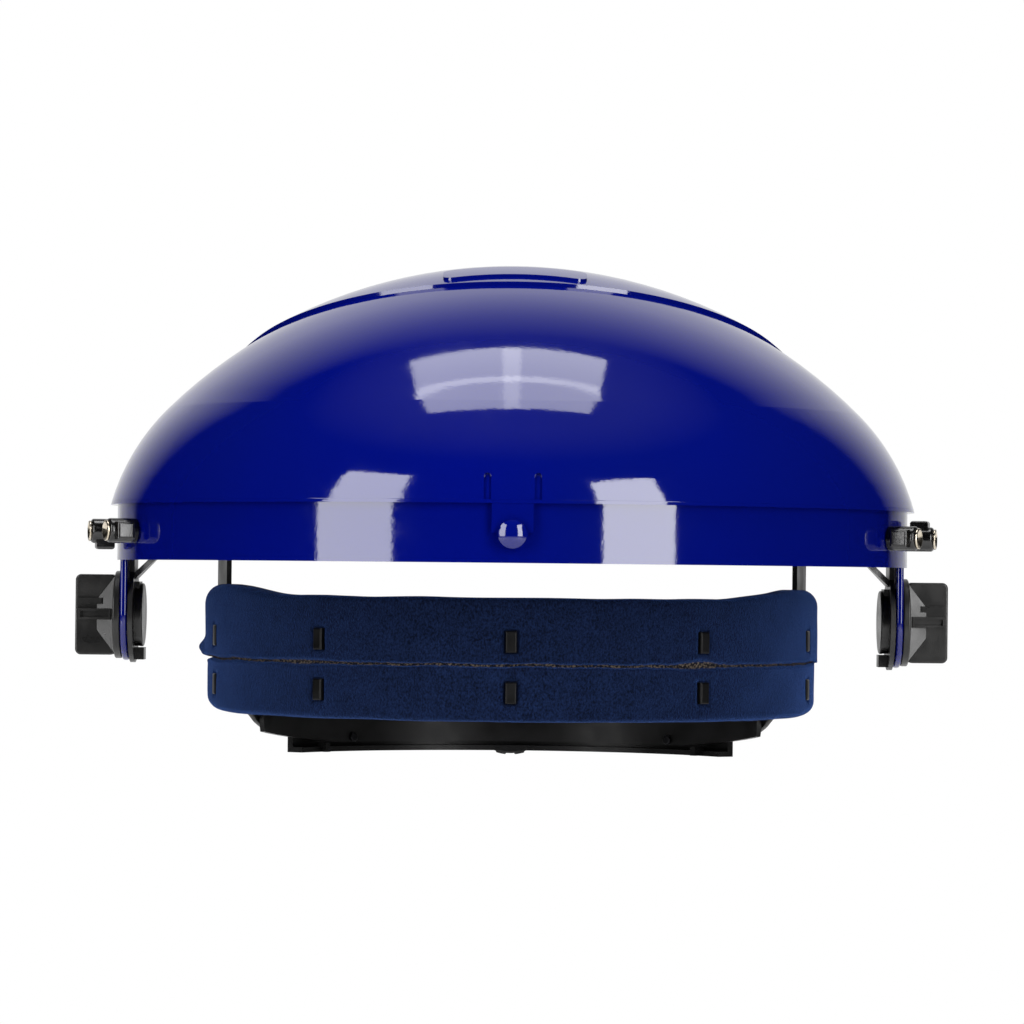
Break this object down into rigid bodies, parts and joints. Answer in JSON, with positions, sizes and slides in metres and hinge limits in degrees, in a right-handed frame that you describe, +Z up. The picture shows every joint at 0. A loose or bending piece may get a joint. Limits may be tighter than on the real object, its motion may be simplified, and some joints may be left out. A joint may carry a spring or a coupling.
{
  "type": "face shield headgear",
  "caption": "Dome browguard on a ratchet headband with a sweatband, pivot knobs at the temples, and a stud and quarter-turn latches for a visor.",
  "frame": {"origin": "centre of the head opening, at half the height of the front band", "axes": "+Z up, the wearer looks along -Y, +X to the right of someone facing the wearer"},
  "size_m": [0.2872, 0.2844, 0.1653],
  "materials": {
    "crown_plastic": "moulded gloss, deep ultramarine",
    "black_nylon": "moulded satin black",
    "black_band": "semi-gloss black polyethylene",
    "latch_plastic": "gloss black",
    "nickel": "nickel-plated",
    "steel": "zinc-plated",
    "brass_insert": "turned",
    "navy_cloth": "brushed navy cloth over foam",
    "washer_plastic": "natural nylon"
  },
  "bodies": {
    "headband": {"front_band": "black_band", "sweatband": "navy_cloth", "bracket_rivets": "steel", "crown_strap_left": "black_band", "side_bracket_left": "black_nylon", "pivot_bolt_left": "black_nylon", "pivot_hub_left": "black_nylon", "friction_washer_left": "washer_plastic", "side_strap_left": "black_band", "crown_strap_right": "black_band", "side_bracket_right": "black_nylon", "pivot_bolt_right": "black_nylon", "pivot_hub_right": "black_nylon", "friction_washer_right": "washer_plastic", "side_strap_right": "black_band"},
    "crown": {"crown_shell": "crown_plastic", "latch_eyelets": "nickel"},
    "rear_unit": {"nape_plate": "black_band", "rear_cover": "black_band", "housing_screws": "steel", "click_ring": "black_nylon"},
    "dial": {"ratchet_knob": "black_nylon", "dial_pinion": "black_nylon", "click_spring": "steel", "knob_screw": "steel"},
    "knob_left": {"pivot_knob_left": "black_nylon", "knob_insert_left": "brass_insert"},
    "tail_left": {"rack_tail_left": "black_band"},
    "latch_left_front": {"visor_latch_left_front": "latch_plastic"},
    "latch_left_rear": {"visor_latch_left_rear": "latch_plastic"},
    "knob_right": {"pivot_knob_right": "black_nylon", "knob_insert_right": "brass_insert"},
    "tail_right": {"rack_tail_right": "black_band"},
    "latch_right_front": {"visor_latch_right_front": "latch_plastic"},
    "latch_right_rear": {"visor_latch_right_rear": "latch_plastic"}
  },
  "joints": [
    {"name": "crown_tilt", "type": "hinge", "parent": "headband", "child": "crown", "pos_m": [0, -0.012, 0.012], "axis": [-1, 0, 0], "range_deg": [0, 60]},
    {"name": "rear_adjust", "type": "slide", "parent": "headband", "child": "rear_unit", "axis": [0, -1, 0], "range_m": [0, 0.02], "deforming": ["side_strap_left", "side_strap_right"]},
    {"name": "dial_turn", "type": "hinge", "parent": "rear_unit", "child": "dial", "pos_m": [0, 0.107, -0.0205], "axis": [0, 1, 0], "range_deg": [0, 255]},
    {"name": "tail_left_feed", "type": "hinge", "parent": "rear_unit", "child": "tail_left", "pos_m": [0, 0.017, 0], "axis": [0, 0, -1], "range_deg": [0, 12.9]},
    {"name": "tail_right_feed", "type": "hinge", "parent": "rear_unit", "child": "tail_right", "pos_m": [0, 0.017, 0], "axis": [0, 0, 1], "range_deg": [0, 12.9]},
    {"name": "knob_left_turn", "type": "hinge", "parent": "headband", "child": "knob_left", "pos_m": [-0.135, -0.012, 0.012], "axis": [-1, 0, 0], "range_deg": [0, 180]},
    {"name": "latch_left_front_turn", "type": "hinge", "parent": "crown", "child": "latch_left_front", "pos_m": [-0.12343, -0.07287, 0.0392], "axis": [-0.9245, -0.3811, 0], "range_deg": [-90, 0]},
    {"name": "latch_left_rear_turn", "type": "hinge", "parent": "crown", "child": "latch_left_rear", "pos_m": [-0.13058, -0.04976, 0.0392], "axis": [-0.9781, -0.2079, 0], "range_deg": [0, 90]},
    {"name": "knob_right_turn", "type": "hinge", "parent": "headband", "child": "knob_right", "pos_m": [0.135, -0.012, 0.012], "axis": [1, 0, 0], "range_deg": [0, 180]},
    {"name": "latch_right_front_turn", "type": "hinge", "parent": "crown", "child": "latch_right_front", "pos_m": [0.12343, -0.07287, 0.0392], "axis": [0.9245, -0.3811, 0], "range_deg": [0, 90]},
    {"name": "latch_right_rear_turn", "type": "hinge", "parent": "crown", "child": "latch_right_rear", "pos_m": [0.13058, -0.04976, 0.0392], "axis": [0.9781, -0.2079, 0], "range_deg": [0, 90]}
  ],
  "couplings": [
    {"joint": "dial_turn", "follows": "rear_adjust", "rad_per_m": 222.22},
    {"joint": "tail_left_feed", "follows": "rear_adjust", "rad_per_m": 11.242},
    {"joint": "tail_right_feed", "follows": "rear_adjust", "rad_per_m": 11.242}
  ]
}
